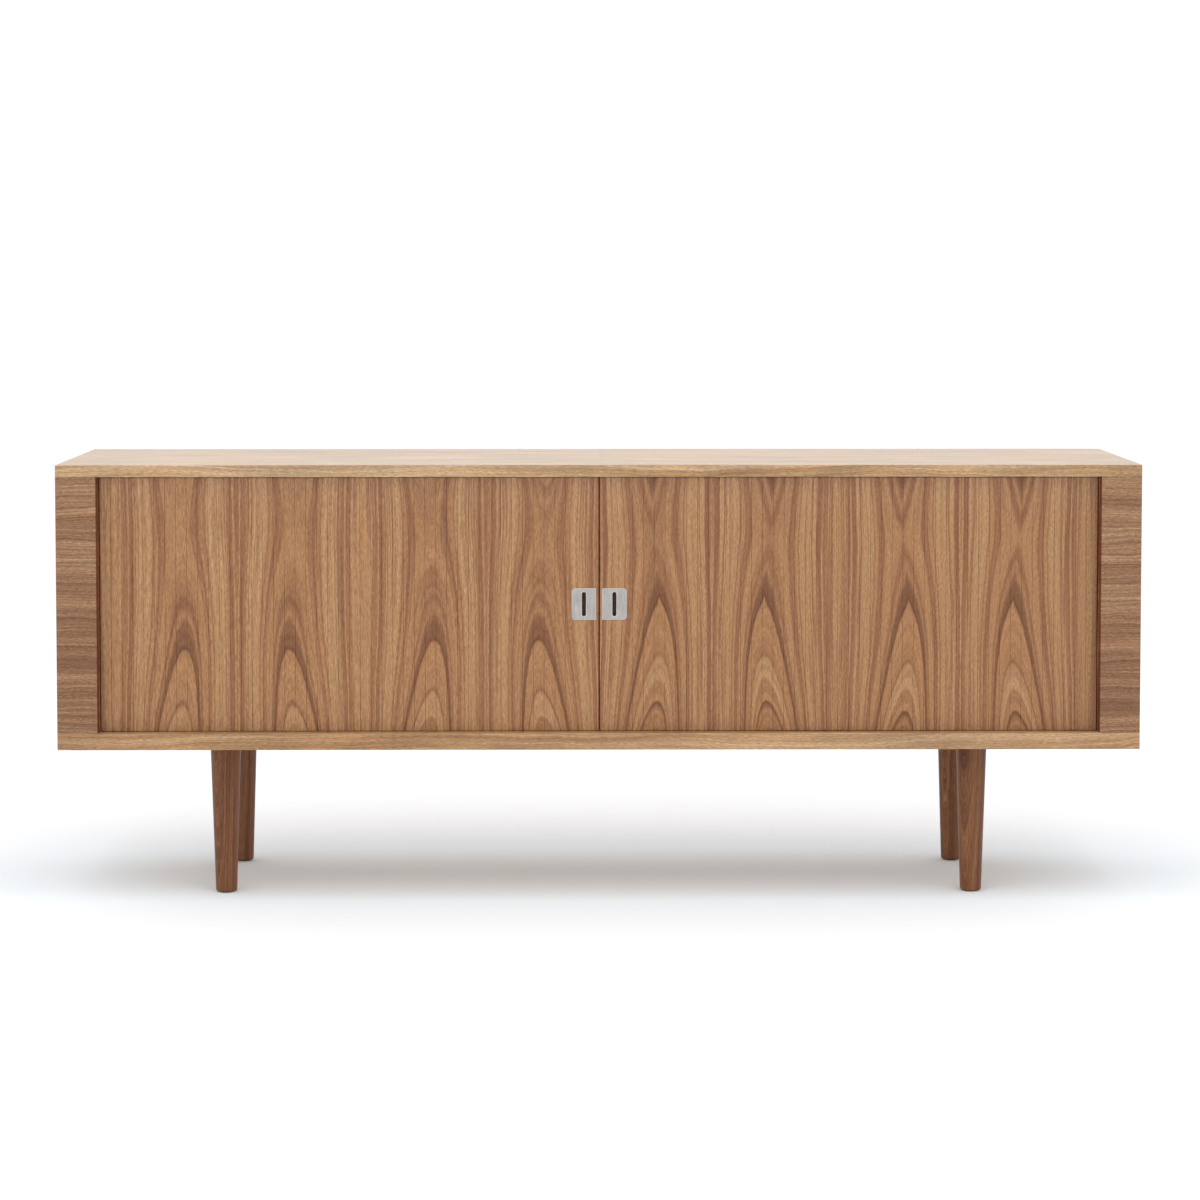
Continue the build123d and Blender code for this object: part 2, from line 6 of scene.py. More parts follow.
import bmesh
import bpy
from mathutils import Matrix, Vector


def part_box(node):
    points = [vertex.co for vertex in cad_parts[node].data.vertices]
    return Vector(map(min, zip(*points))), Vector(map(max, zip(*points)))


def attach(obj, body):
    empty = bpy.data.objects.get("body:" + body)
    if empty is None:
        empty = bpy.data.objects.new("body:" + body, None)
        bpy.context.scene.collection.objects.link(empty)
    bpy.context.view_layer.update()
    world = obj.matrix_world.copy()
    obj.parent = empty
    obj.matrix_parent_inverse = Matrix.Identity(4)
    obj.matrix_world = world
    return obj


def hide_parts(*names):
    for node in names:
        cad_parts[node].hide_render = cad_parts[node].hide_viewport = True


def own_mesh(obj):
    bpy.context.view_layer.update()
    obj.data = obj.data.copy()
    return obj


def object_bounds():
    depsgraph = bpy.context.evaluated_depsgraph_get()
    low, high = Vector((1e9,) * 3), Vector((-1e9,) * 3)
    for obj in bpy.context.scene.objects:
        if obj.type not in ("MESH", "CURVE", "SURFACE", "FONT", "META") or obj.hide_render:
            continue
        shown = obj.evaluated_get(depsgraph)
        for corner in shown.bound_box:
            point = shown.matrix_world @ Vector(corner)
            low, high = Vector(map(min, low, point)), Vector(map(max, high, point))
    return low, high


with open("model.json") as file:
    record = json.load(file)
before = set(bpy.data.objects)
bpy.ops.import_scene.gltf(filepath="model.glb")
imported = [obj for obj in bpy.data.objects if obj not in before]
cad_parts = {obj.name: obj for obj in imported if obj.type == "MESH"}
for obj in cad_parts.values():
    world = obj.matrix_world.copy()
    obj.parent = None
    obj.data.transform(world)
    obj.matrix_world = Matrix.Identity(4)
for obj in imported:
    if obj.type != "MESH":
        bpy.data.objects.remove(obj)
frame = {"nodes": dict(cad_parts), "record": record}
cad_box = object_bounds()
nodes = frame["nodes"]
MM = 0.001

# Places and sizes on the part, in mm
BEND_INSET = 44.5  # From a curtain's outermost face back to where its track starts to bend
SLAT_EASE = 0.35  # The rounding of the slats' long edges
PULL_SLOT = (3.35, 20.5)  # Half the slot's width and half its height
POCKET_X, POCKET_Y, POCKET_Z = (14.6, 36.9), (-203.3, -190.7), (476.3, 523.7)  # Behind a pull, where shade is painted on the wood seen through the slot
POCKET_SOFT = 0.1
MEETING_EDGE = (1.1, 1.9)  # The lead stiles' edges, where the painted shade of the meeting line fades out
SHADOW_LINE_Z = (712.8, 713.8)  # Where a painted shadow line darkens the doors just below the top panel
REVEAL_X, REVEAL_Y = (844.9, 845.6), (-206.0, -200.0)  # The corner stiles' edges beside the doors, where shade is painted into the reveal

# The doors' book-matched leaves, in mm across a leaf and above the foot of the doors
DOOR_FOOT = 284.0
LEAF_WIDTH = 210.5
LEAF_TRIM = 20.0  # Cut off the two leaves that meet at the centre
ARCH_INSET = 93.0  # From the joint inside each pair of leaves to the middle line of the arches
ARCH_REACH = (48.0, 90.0)  # How far the arches spread to either side of their middle line
ARCH_RADIUS = 65.3  # The ring that shows on the middle line between the lower and the upper arches
ARCH_STEEPNESS = 12.5
LOWER_START, LOWER_EASE = 330.0, 50.0  # Where the lower arches begin, and how softly
UPPER_START, UPPER_EASE, UPPER_STEEPNESS = 340.0, 20.0, 8.0
SWAY_START, SWAY_LENGTH, SWAY_SIZE, SWAY_REACH = 30.0, 500.0, 7.0, 60.0  # The middle line's slow swing
HEART_RADIUS = 10.0  # The innermost ring that can show
POINTED_FROM, POINTED_TO = (50.0, 56.0), (60.0, 66.0)  # The rings whose arches are drawn out to points
TIP_NARROWNESS = 0.16
RING_LOW, RING_SPAN = 20.0, 120.0  # The first ring in the colour ramp, and how far the ramp goes on
PALE_START, PALE_SPAN = 316.0, 112.0  # Where painted light makes the doors paler and greyer towards the top, against the top panel's shade

# Tints that multiply a colour. The tints for the doors' top, the line under the top panel, the pocket, the
# meeting line, the reveal and the floor are painted light and shade; the end grain and pore tints are the
# wood's own
TOP_LIGHT_TINT = (1.3, 1.42, 1.65, 1.0)
SHADOW_LINE_TINT = (0.6, 0.55, 0.45, 1.0)
POCKET_SHADE_TINT = (0.4, 0.31, 0.27, 1.0)
MEETING_SHADE_TINT = (0.9, 0.7, 0.6, 1.0)
REVEAL_SHADE_TINT = (0.62, 0.3, 0.18, 1.0)
END_GRAIN_TINT = (0.8, 0.74, 0.68, 1.0)
PORE_TINT = (0.62, 0.56, 0.54, 1.0)
FLOOR_SHADOW_TINT = (0.87, 0.92, 0.96, 1.0)

# The marks in the wood
GRAIN_DRIFT = 0.0012  # How fast the rings change along a board, in noise cells to the mm
FIBRE_SHIFT = 8.0  # How far rows of fibres are shifted against each other, in noise cells
PLAIN_LOOKS = {
    "gloss": 0.45,
    "shine": 0.4,
    "wisps": 0.0,
    "stripes": 0.14,
    "flecks": 0.36,
    "fleck_size": (1.6, 6.0),
    "pores": 0.6,
}
DOOR_MARKS = {"stripes": 0.13, "flecks": 0.27, "fleck_size": (1.6, 6.0), "pores": 0.6}
DOOR_SHINE = 0.35
FLECK_DEPTH, FLECK_STRENGTH = 0.05, 0.5

# The studio, in metres, and the camera
ROOM_BRIGHTNESS = 1.14
FLOOR_SIZE = 20.0
LIGHT_PLACE, LIGHT_TARGET = (0.0, -1.5, 3.4), (0.0, 0.0, 0.4)
LIGHT_SIZE, LIGHT_POWER = 3.0, 34.0
CAMERA_X, CAMERA_HEIGHT = -0.0444, 1.0911
CAMERA_DISTANCE = 5.5293  # From the case's front
CAMERA_TILT, CAMERA_TURN = 0.05758, -0.00825  # Downwards, and to the right


# Colours and shader nodes


def srgb(*colour):
    """A display colour, 0 to 255, as the linear colour that shaders take."""
    linear = []
    for level in colour:
        share = level / 255
        linear.append(share / 12.92 if level <= 10 else ((share + 0.055) / 1.055) ** 2.4)
    return (*linear, 1.0)


def palette(*colours):
    """Several display colours as linear ones."""
    return tuple(srgb(*colour) for colour in colours)


class Shader:
    """A material under construction. Lengths are in mm. Most methods add nodes and return an output."""

    def __init__(self, name):
        self.material = bpy.data.materials.new(name)
        self.material.use_nodes = True
        self.nodes = self.material.node_tree.nodes
        self.links = self.material.node_tree.links
        self.surface = self.nodes["Principled BSDF"]

    def feed(self, socket, value):
        """Links a socket to the input, or sets the input to a constant."""
        if isinstance(value, bpy.types.NodeSocket):
            self.links.new(value, socket)
        else:
            socket.default_value = value

    def place(self):
        """The point's x, y and z in the row frame, in mm."""
        coordinates = self.nodes.new("ShaderNodeTexCoord")
        scaled = self.nodes.new("ShaderNodeVectorMath")
        scaled.operation = "SCALE"
        scaled.inputs["Scale"].default_value = 1 / MM
        self.links.new(coordinates.outputs["Object"], scaled.inputs[0])
        split = self.nodes.new("ShaderNodeSeparateXYZ")
        self.links.new(scaled.outputs[0], split.inputs[0])
        return split.outputs[0], split.outputs[1], split.outputs[2]

    def math(self, operation, *values):
        node = self.nodes.new("ShaderNodeMath")
        node.operation = operation
        for socket, value in zip(node.inputs, values):
            self.feed(socket, value)
        return node.outputs[0]

    def add(self, *values):
        total = values[0]
        for value in values[1:]:
            total = self.math("ADD", total, value)
        return total

    def times(self, *values):
        total = values[0]
        for value in values[1:]:
            total = self.math("MULTIPLY", total, value)
        return total

    def size(self, value):
        """The value without its sign."""
        return self.math("ABSOLUTE", value)

    def noise(self, x, y, z, detail=2.0, roughness=0.5):
        """Smooth noise from 0 to 1; each of x, y and z counts in noise cells."""
        point = self.nodes.new("ShaderNodeCombineXYZ")
        for socket, value in zip(point.inputs, (x, y, z)):
            self.feed(socket, value)
        node = self.nodes.new("ShaderNodeTexNoise")
        node.inputs["Scale"].default_value = 1.0
        node.inputs["Detail"].default_value = detail
        node.inputs["Roughness"].default_value = roughness
        self.links.new(point.outputs[0], node.inputs["Vector"])
        return node.outputs[0]

    def swing(self, x, y, z, size, detail=1.0):
        """Noise that swings to either side of zero by about half of size."""
        return self.times(self.math("SUBTRACT", self.noise(x, y, z, detail), 0.5), size)

    def spread(self, value, low, high, to_low=0.0, to_high=1.0):
        """Value mapped smoothly from low..high to to_low..to_high, and held at both ends."""
        node = self.nodes.new("ShaderNodeMapRange")
        node.interpolation_type = "SMOOTHSTEP"
        for socket, amount in zip(node.inputs, (value, low, high, to_low, to_high)):
            self.feed(socket, amount)
        return node.outputs[0]

    def ramp(self, factor, *stops):
        """Colours at positions from 0 to 1, given as (position, colour)."""
        node = self.nodes.new("ShaderNodeValToRGB")
        elements = node.color_ramp.elements
        while len(elements) < len(stops):
            elements.new(0.5)
        for element, (position, colour) in zip(elements, stops):
            element.position = position
            element.color = colour
        self.feed(node.inputs[0], factor)
        return node.outputs[0]

    def mix(self, factor, first, second, blend="MIX"):
        node = self.nodes.new("ShaderNodeMix")
        node.data_type = "RGBA"
        node.blend_type = blend
        self.feed(node.inputs[0], factor)
        self.feed(node.inputs[6], first)
        self.feed(node.inputs[7], second)
        return node.outputs[2]

    def bump(self, height, depth, strength):
        """Raises the surface where height is 1, by depth in mm."""
        node = self.nodes.new("ShaderNodeBump")
        node.inputs["Strength"].default_value = strength
        node.inputs["Distance"].default_value = depth * MM
        self.links.new(height, node.inputs["Height"])
        self.links.new(node.outputs[0], self.surface.inputs["Normal"])

    def finish(self, colour, roughness, **constants):
        """Sets the colour, the roughness, and the shader's other inputs by name with _ for a space."""
        self.feed(self.surface.inputs["Base Color"], colour)
        self.feed(self.surface.inputs["Roughness"], roughness)
        for name, value in constants.items():
            self.surface.inputs[name.replace("_", " ")].default_value = value
        return self.material


def grey(level):
    """A grey as a linear colour."""
    return (level, level, level, 1.0)


def stain_and_painted_light(shader, colour, mask, tint):
    """The colour, multiplied by a tint where the mask is 1; used for the wood's own marks and for painted
    light and shade.
    """
    return shader.mix(mask, colour, shader.mix(1.0, colour, tint, "MULTIPLY"))


def shaded(shader, colour, noise, low, high):
    """The colour, multiplied by low where the noise is low and by high where it is high."""
    shade = shader.ramp(noise, (0.3, low), (0.7, high))
    return shader.mix(1.0, colour, shade, "MULTIPLY")


def within(shader, value, low, high, soft):
    """1 where the value is between low and high, and 0 elsewhere."""
    above = shader.spread(value, low - soft, low)
    return shader.times(above, shader.spread(value, high, high + soft, 1.0, 0.0))


def fade(shader, distance, reach, power):
    """1 at no distance, a half at reach, and falling away beyond it."""
    share = shader.times(shader.math("MAXIMUM", distance, 0.0), 1 / reach)
    return shader.math("DIVIDE", 1.0, shader.add(shader.math("POWER", share, power), 1.0))


# Wood


def with_fibres(shader, colour, radius, across, along, sheet, marks):
    """The colour with the fine marks of the wood, as strong as marks says. Also gives the flecks.

    Stripes follow the growth rings. Flecks and open pores follow the fibres. Neighbouring rows of them are
    shifted by different lengths, so that they don't line up.
    """
    fleck_width, fleck_length = marks["fleck_size"]
    stripe = shader.noise(shader.times(radius, 0.62), shader.times(along, 0.004), sheet, 2.0, 0.6)
    row = shader.times(across, 1 / fleck_width)
    shift = shader.swing(row, 0.0, sheet, FIBRE_SHIFT)
    fleck_place = shader.add(shader.times(along, 1 / fleck_length), shift)
    fleck = shader.noise(row, fleck_place, sheet, 1.0)
    pore_place = shader.add(shader.times(along, 0.13), shift)
    pore = shader.noise(shader.times(across, 1.9), pore_place, shader.add(sheet, 4.0), 1.0)
    for mark, strength in ((stripe, marks["stripes"]), (fleck, marks["flecks"])):
        low, high = 1.0 - strength, 1.0 + strength
        deep = (low * 1.02, low * 0.965, low * 0.88, 1.0)
        bright = (high * 0.985, high * 1.01, high * 1.06, 1.0)
        colour = shaded(shader, colour, mark, deep, bright)
    open_pores = shader.spread(pore, 0.62, 0.74, 0.0, marks["pores"])
    return stain_and_painted_light(shader, colour, open_pores, PORE_TINT), fleck


def thin_lines(shader, radius, along, sheet, spacing):
    """Thin, uneven growth lines, from 0 between them to 1 on them."""
    drift = shader.times(along, GRAIN_DRIFT)
    wave = shader.noise(shader.times(radius, 1 / spacing), drift, sheet, 2.0, 0.6)
    line = shader.spread(shader.size(shader.math("SUBTRACT", wave, 0.5)), 0.0, 0.075, 1.0, 0.0)
    weight = shader.noise(shader.times(radius, 0.3 / spacing), drift, shader.add(sheet, 7.0), 1.0)
    return shader.times(line, shader.spread(weight, 0.36, 0.62, 0.15, 1.0))


def polished(shader, colour, fleck, rough, smooth, shine):
    """The finished wood: raised, smoother flecks on a rougher ground."""
    shader.bump(fleck, FLECK_DEPTH, FLECK_STRENGTH)
    roughness = shader.spread(fleck, 0.2, 0.8, rough, smooth)
    return shader.finish(colour, roughness, Specular_IOR_Level=shine)


def door_rings():
    """The colour ramp's stops for the doors' rings, each given by its distance from the heart in mm."""
    golden, tan, middle = palette((166, 126, 86), (160, 117, 78), (155, 111, 73))
    mauve, brown = palette((145, 101, 68), (134, 90, 58))
    dusk, line = palette((116, 76, 46), (101, 62, 36))
    rings = (
        (27.6, middle), (30.4, line), (31.2, tan), (36.6, mauve), (37.6, golden), (42.8, golden),
        (44.0, brown), (45.2, middle), (53.6, middle), (54.2, line), (55.0, dusk), (57.0, dusk),
        (58.8, middle), (61.0, brown), (62.2, middle), (63.6, tan), (70.2, tan), (71.0, brown),
        (72.4, mauve), (75.2, brown), (76.4, middle), (79.0, tan), (80.2, brown), (82.0, golden),
        (102.0, golden), (103.4, mauve), (109.4, brown), (110.6, golden), (113.0, mauve),
        (119.0, mauve), (121.0, golden), (136.0, tan),
    )
    return [((ring - RING_LOW) / RING_SPAN, colour) for ring, colour in rings]


def squared_dip(shader, depth, steepness, ease):
    """A dip that grows with the square of a small depth, and evenly with a large one."""
    return shader.math("DIVIDE", shader.times(depth, depth, steepness), shader.add(depth, ease))


def door_radius(shader, across, climb, half, leaf, outer_pair):
    """How far from the tree's heart the leaf was cut at each point.

    The cut was flat beside the heart, so the rings run upright at the leaf's edges. Where it dips nearer to
    the heart, above and below, they close in arches. The two halves of the front differ a little: half is 1
    on the right and -1 on the left.
    """
    offset = shader.add(across, ARCH_INSET - LEAF_WIDTH)
    swell = shader.times(
        fade(shader, offset, ARCH_REACH[0], 3.0),
        fade(shader, shader.times(offset, -1.0), ARCH_REACH[1], 4.0),
    )
    plateau = shader.add(shader.times(half, -2.2), ARCH_RADIUS)
    steepness = shader.add(
        shader.times(outer_pair, shader.add(shader.times(half, 0.13), -1.07)),
        shader.times(half, 0.4),
        ARCH_STEEPNESS,
    )
    lower = shader.math("MAXIMUM", shader.math("SUBTRACT", LOWER_START, climb), 0.0)
    upper = shader.math("MAXIMUM", shader.add(climb, shader.times(half, 12.0), -UPPER_START), 0.0)
    dip = shader.add(
        squared_dip(shader, lower, steepness, LOWER_EASE),
        squared_dip(shader, upper, UPPER_STEEPNESS, UPPER_EASE),
    )
    turn = shader.times(shader.add(climb, -SWAY_START), math.tau / SWAY_LENGTH)
    lean = shader.times(shader.math("SINE", turn), SWAY_SIZE)
    lean = shader.times(shader.add(lean, -1.0), fade(shader, shader.size(offset), SWAY_REACH, 4.0))
    wobble = shader.swing(shader.times(across, 0.02), shader.times(climb, 0.012), leaf, 4.0, 2.0)
    side = shader.add(offset, shader.times(lean, -1.0), wobble)
    squared = shader.add(
        shader.times(side, side),
        shader.times(plateau, plateau),
        shader.times(dip, swell, -1.0),
    )
    radius = shader.math("SQRT", shader.math("MAXIMUM", squared, HEART_RADIUS * HEART_RADIUS))
    tip = shader.math("EXPONENT", shader.times(shader.size(side), -TIP_NARROWNESS))
    pointed = shader.times(
        shader.spread(radius, *POINTED_FROM),
        shader.spread(radius, *POINTED_TO, 1.0, 0.0),
    )
    stretch = shader.add(shader.times(half, -0.9), -1.1)
    radius = shader.add(radius, shader.times(tip, pointed, stretch))
    ripple = shader.swing(shader.times(across, 0.05), shader.times(climb, 0.02), leaf, 1.6, 2.0)
    return shader.add(radius, ripple)


def door_veneer():
    """Book-matched flame walnut. The leaves show the same rings, cut at slightly different depths."""
    shader = Shader("door_walnut")
    x, y, z = shader.place()
    from_middle = shader.size(x)
    reach = shader.add(from_middle, LEAF_TRIM)
    across = shader.math("PINGPONG", reach, LEAF_WIDTH)
    half = shader.math("SIGN", x)
    count = shader.math("FLOOR", shader.times(reach, 1 / LEAF_WIDTH))
    leaf = shader.add(shader.times(count, 0.07), shader.times(half, -0.25))
    outer_pair = shader.math("GREATER_THAN", count, 1.5)
    climb = shader.math("SUBTRACT", z, DOOR_FOOT)
    radius = door_radius(shader, across, climb, half, leaf, outer_pair)
    colour = shader.ramp(shader.times(shader.add(radius, -RING_LOW), 1 / RING_SPAN), *door_rings())
    lines = thin_lines(shader, radius, climb, leaf, 6.0)
    near_heart = shader.spread(radius, 50.0, 58.0, 0.25, 1.0)
    colour = shader.mix(shader.times(lines, near_heart, 0.7), colour, srgb(121, 77, 50))
    broad = shader.noise(shader.times(radius, 0.16), shader.times(climb, 0.002), leaf, 2.0)
    colour = shaded(shader, colour, broad, (0.95, 0.95, 0.96, 1.0), (1.05, 1.05, 1.04, 1.0))
    colour, fleck = with_fibres(shader, colour, radius, x, z, leaf, DOOR_MARKS)
    # Painted light: the doors get paler and greyer towards the top, brightening the shade under the top
    # panel
    above = shader.math("MAXIMUM", shader.add(climb, -PALE_START), 0.0)
    pale = shader.math("POWER", shader.times(above, 1 / PALE_SPAN), 3.0)
    colour = stain_and_painted_light(shader, colour, pale, TOP_LIGHT_TINT)
    # Painted shadow: a dark line along the doors just below the top panel
    colour = stain_and_painted_light(shader, colour, shader.spread(z, *SHADOW_LINE_Z), SHADOW_LINE_TINT)
    # Painted shade: the wood seen through the pull's slot is darkened
    pocket_shade = shader.times(
        within(shader, y, *POCKET_Y, POCKET_SOFT),
        within(shader, from_middle, *POCKET_X, POCKET_SOFT),
        within(shader, z, *POCKET_Z, POCKET_SOFT),
    )
    colour = stain_and_painted_light(shader, colour, pocket_shade, POCKET_SHADE_TINT)
    # Painted shade: the lead stiles' edges darken along the meeting line
    meeting_shade = shader.spread(from_middle, *MEETING_EDGE, 1.0, 0.0)
    colour = stain_and_painted_light(shader, colour, meeting_shade, MEETING_SHADE_TINT)
    return polished(shader, colour, fleck, 0.55, 0.42, DOOR_SHINE)


def sheet_wood(name, grain, tones, spacing, curve, seed, **looks):
    """A board or veneer in five tones, from dark to pale.

    Its grain runs "upright", "lengthwise" along X, "inward" along Y, or level "round" the case's corners.
    The rings lie about spacing apart, and curve is how far from the tree's heart the cut lies.
    """
    looks = PLAIN_LOOKS | looks
    gloss, wisps = looks["gloss"], looks["wisps"]
    dark, shade, middle, light, pale = tones
    shader = Shader(name)
    x, y, z = shader.place()
    reach = shader.size(x)
    if grain == "upright":
        along, across, other = z, shader.add(x, y), shader.times(y, 0.3)
    elif grain == "round":
        along, across, other = shader.add(reach, y), z, shader.times(shader.math("SIGN", x), 37.0)
    elif grain == "inward":
        along, across, other = y, z, x
    else:
        along, across, other = x, y, z
    sway = shader.swing(shader.times(across, 0.006), shader.times(along, 0.0016), seed, 60.0, 2.0)
    ripple = shader.swing(shader.times(across, 0.04), shader.times(along, 0.02), seed, 7.0, 2.0)
    side = shader.add(across, other, sway, ripple, seed * 40.0)
    radius = shader.math("SQRT", shader.add(shader.times(side, side), curve * curve))
    drift = shader.times(along, GRAIN_DRIFT)
    broad = shader.noise(shader.times(radius, 0.24 / spacing), drift, seed, 2.0)
    bands = shader.noise(shader.times(radius, 0.8 / spacing), drift, seed + 5.0, 3.0, 0.62)
    tone = shader.add(shader.times(broad, 0.6), shader.times(bands, 0.8), -0.2)
    colour = shader.ramp(tone, (0.2, dark), (0.38, shade), (0.5, middle), (0.64, light), (0.85, pale))
    lines = thin_lines(shader, radius, along, seed, 0.8 * spacing)
    colour = shader.mix(shader.times(lines, 0.4), colour, dark)
    cloud = shader.noise(
        shader.times(across, 0.03), shader.times(along, 0.005), shader.times(other, 0.03), 2.0, 0.6
    )
    colour = shaded(shader, colour, cloud, grey(1.0 - wisps), grey(1.0 + wisps))
    colour, fleck = with_fibres(shader, colour, radius, shader.add(across, other), along, seed, looks)
    if grain == "round":
        # Painted shade: the corner stiles' edges beside the doors are darkened to a reddish brown
        reveal_shade = shader.times(
            shader.spread(reach, *REVEAL_X, 1.0, 0.0),
            shader.spread(y, *REVEAL_Y, 1.0, 0.0),
        )
        colour = stain_and_painted_light(shader, colour, reveal_shade, REVEAL_SHADE_TINT)
    if grain == "lengthwise":
        half_width = cad_box[1][0] / MM
        end = shader.spread(reach, half_width - 0.6, half_width - 0.2)
        colour = stain_and_painted_light(shader, colour, end, END_GRAIN_TINT)
    return polished(shader, colour, fleck, gloss + 0.06, gloss - 0.06, looks["shine"])


# Other materials


def rim_highlights(shader, x, z):
    """1 along the pull plates' edges and round their slots, where a highlight is painted."""
    low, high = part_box("right_pull")
    middle_x, middle_z = (low.x + high.x) / 2 / MM, (low.z + high.z) / 2 / MM
    half_x, half_z = (high.x - low.x) / 2 / MM, (high.z - low.z) / 2 / MM
    slot_half_width, slot_half_height = PULL_SLOT
    side = shader.size(shader.add(shader.size(x), -middle_x))
    rise = shader.size(shader.add(z, -middle_z))
    edge = shader.math("MAXIMUM", shader.add(side, -half_x), shader.add(rise, -half_z))
    beyond = shader.math("MAXIMUM", shader.add(rise, slot_half_width - slot_half_height), 0.0)
    from_slot = shader.math("SQRT", shader.add(shader.times(side, side), shader.times(beyond, beyond)))
    outer = shader.spread(edge, -1.4, -0.4)
    inner = shader.spread(from_slot, slot_half_width + 0.6, slot_half_width + 1.8, 1.0, 0.0)
    return shader.math("MAXIMUM", outer, inner)


def brushed_metal(name, colour, upright):
    """Steel brushed along one direction. Upright brushing is the pull plates', whose rims get a painted
    highlight.
    """
    shader = Shader(name)
    x, y, z = shader.place()
    across, along = (shader.add(x, y), z) if upright else (z, shader.add(x, y))
    brush = shader.noise(shader.times(across, 0.8), shader.times(along, 0.04), 0.0, 4.0, 0.75)
    cloud = shader.noise(shader.times(x, 0.06), shader.times(y, 0.06), shader.times(z, 0.06), 2.0)
    dim = shader.spread(brush, 0.25, 0.75, 0.72, 1.12)
    tone = shader.times(dim, shader.spread(cloud, 0.3, 0.7, 0.94, 1.03))
    if upright:
        # Painted highlight: the plates' rims and the slots' edges are lighter
        tone = shader.times(tone, shader.add(shader.times(rim_highlights(shader, x, z), 0.3), 0.96))
    tinted = shader.nodes.new("ShaderNodeVectorMath")
    tinted.operation = "SCALE"
    tinted.inputs[0].default_value = colour[:3]
    shader.links.new(tone, tinted.inputs["Scale"])
    shader.bump(brush, 0.02, 0.4)
    roughness = shader.spread(brush, 0.2, 0.8, 0.3, 0.46)
    return shader.finish(tinted.outputs[0], roughness, Metallic=1.0)


def canvas_cloth():
    """Plain-woven cotton canvas."""
    thread_pair = 0.9
    shader = Shader("canvas_cloth")
    x, y, z = shader.place()
    pitch = 2 * math.pi / thread_pair
    warp = shader.math("SINE", shader.times(shader.add(x, y), pitch))
    weft = shader.math("SINE", shader.times(z, pitch))
    weave = shader.times(shader.add(shader.times(warp, weft), 1.0), 0.5)
    slub = shader.noise(shader.times(x, 0.3), shader.times(y, 0.3), shader.times(z, 1.4), 3.0)
    tone = shader.add(shader.times(weave, 0.5), shader.times(slub, 0.5))
    colour = shader.ramp(tone, (0.2, srgb(150, 130, 100)), (0.8, srgb(206, 190, 160)))
    shader.bump(weave, 0.15, 0.7)
    return shader.finish(colour, shader.spread(weave, 0.0, 1.0, 0.95, 0.8))


def plastic(name, colour):
    """Moulded plastic with a fine grain."""
    shader = Shader(name)
    x, y, z = shader.place()
    grain = shader.noise(shader.times(x, 2.2), shader.times(y, 2.2), shader.times(z, 2.2), 3.0)
    lighter = tuple(min(1.0, c * 1.5) for c in colour[:3]) + (1.0,)
    shade = shader.ramp(grain, (0.2, colour), (0.9, lighter))
    shader.bump(grain, 0.03, 0.5)
    return shader.finish(shade, shader.spread(grain, 0.2, 0.8, 0.45, 0.62))


def make_materials():
    """Every finish, by the record's material slot, or by a word for the nodes that have their own."""
    case = palette((97, 62, 39), (121, 83, 54), (142, 103, 72), (155, 119, 86), (168, 133, 101))
    top = palette((146, 106, 65), (163, 127, 85), (175, 142, 103), (184, 154, 118), (193, 166, 134))
    base = palette((137, 96, 58), (155, 116, 75), (168, 131, 91), (178, 143, 105), (188, 156, 121))
    leg = palette((84, 50, 30), (102, 63, 38), (121, 78, 49), (134, 90, 58), (147, 102, 68))
    inner = palette((104, 70, 48), (126, 88, 62), (144, 104, 73), (158, 117, 84), (170, 130, 96))
    maple = palette((180, 143, 98), (195, 160, 115), (206, 173, 130), (214, 184, 144), (221, 195, 158))
    board_looks = {"gloss": 0.3, "shine": 0.49, "wisps": 0.2}
    board_looks |= {"stripes": 0.3, "flecks": 0.46, "fleck_size": (0.9, 7.0)}
    case_looks = {"stripes": 0.36, "flecks": 0.4, "fleck_size": (1.6, 5.0)}
    leg_looks = {"shine": 0.25, "stripes": 0.24, "flecks": 0.3, "fleck_size": (1.6, 14.0)}
    maple_looks = {"stripes": 0.1, "flecks": 0.12, "pores": 0.2}
    return {
        "door_veneer": door_veneer(),
        "case_veneer": sheet_wood("case_walnut", "round", case, 8.0, 60.0, 1.0, **case_looks),
        "board_veneer": sheet_wood("board_walnut", "lengthwise", top, 6.5, 90.0, 2.0, **board_looks),
        "leg_wood": sheet_wood("leg_walnut", "upright", leg, 3.5, 30.0, 3.0, **leg_looks),
        "inner_veneer": sheet_wood("inner_walnut", "upright", inner, 6.0, 80.0, 4.0),
        "tray_wood": sheet_wood("tray_maple", "lengthwise", maple, 7.0, 90.0, 5.0, **maple_looks),
        "dowel_wood": sheet_wood("dowel_beech", "upright", maple, 3.0, 20.0, 6.0, **maple_looks),
        "pull_metal": brushed_metal("pull_steel", srgb(184, 181, 177), True),
        "fixing_steel": brushed_metal("fixing_steel", srgb(186, 184, 180), False),
        "bottom_panel": sheet_wood("base_walnut", "lengthwise", base, 6.5, 90.0, 7.0, **board_looks),
        "back_panel": sheet_wood("back_walnut", "lengthwise", case, 6.0, 90.0, 8.0),
        "shelf": sheet_wood("shelf_walnut", "lengthwise", inner, 6.0, 80.0, 9.0),
        "runner": sheet_wood("runner_maple", "inward", maple, 7.0, 90.0, 10.0, **maple_looks),
        "canvas": canvas_cloth(),
        "glide_plastic": plastic("glide_nylon", srgb(52, 46, 42)),
    }


def paint_nodes(materials):
    """Gives every CAD node the finish of its material slot, or one with its own grain or tone."""
    own_finish = {"bottom_panel": "bottom_panel", "back_panel": "back_panel", "tray_runners": "runner"}
    for part in frame["record"]["subparts"]:
        node = part["node"]
        finish = own_finish.get(node, part["material_slot"])
        if node.endswith("_shelf"):
            finish = "shelf"
        if node.startswith("tray_") and node.endswith("_sides"):
            finish = "runner"
        slots = nodes[node].data.materials
        slots.clear()
        slots.append(materials[finish])


# Tambour


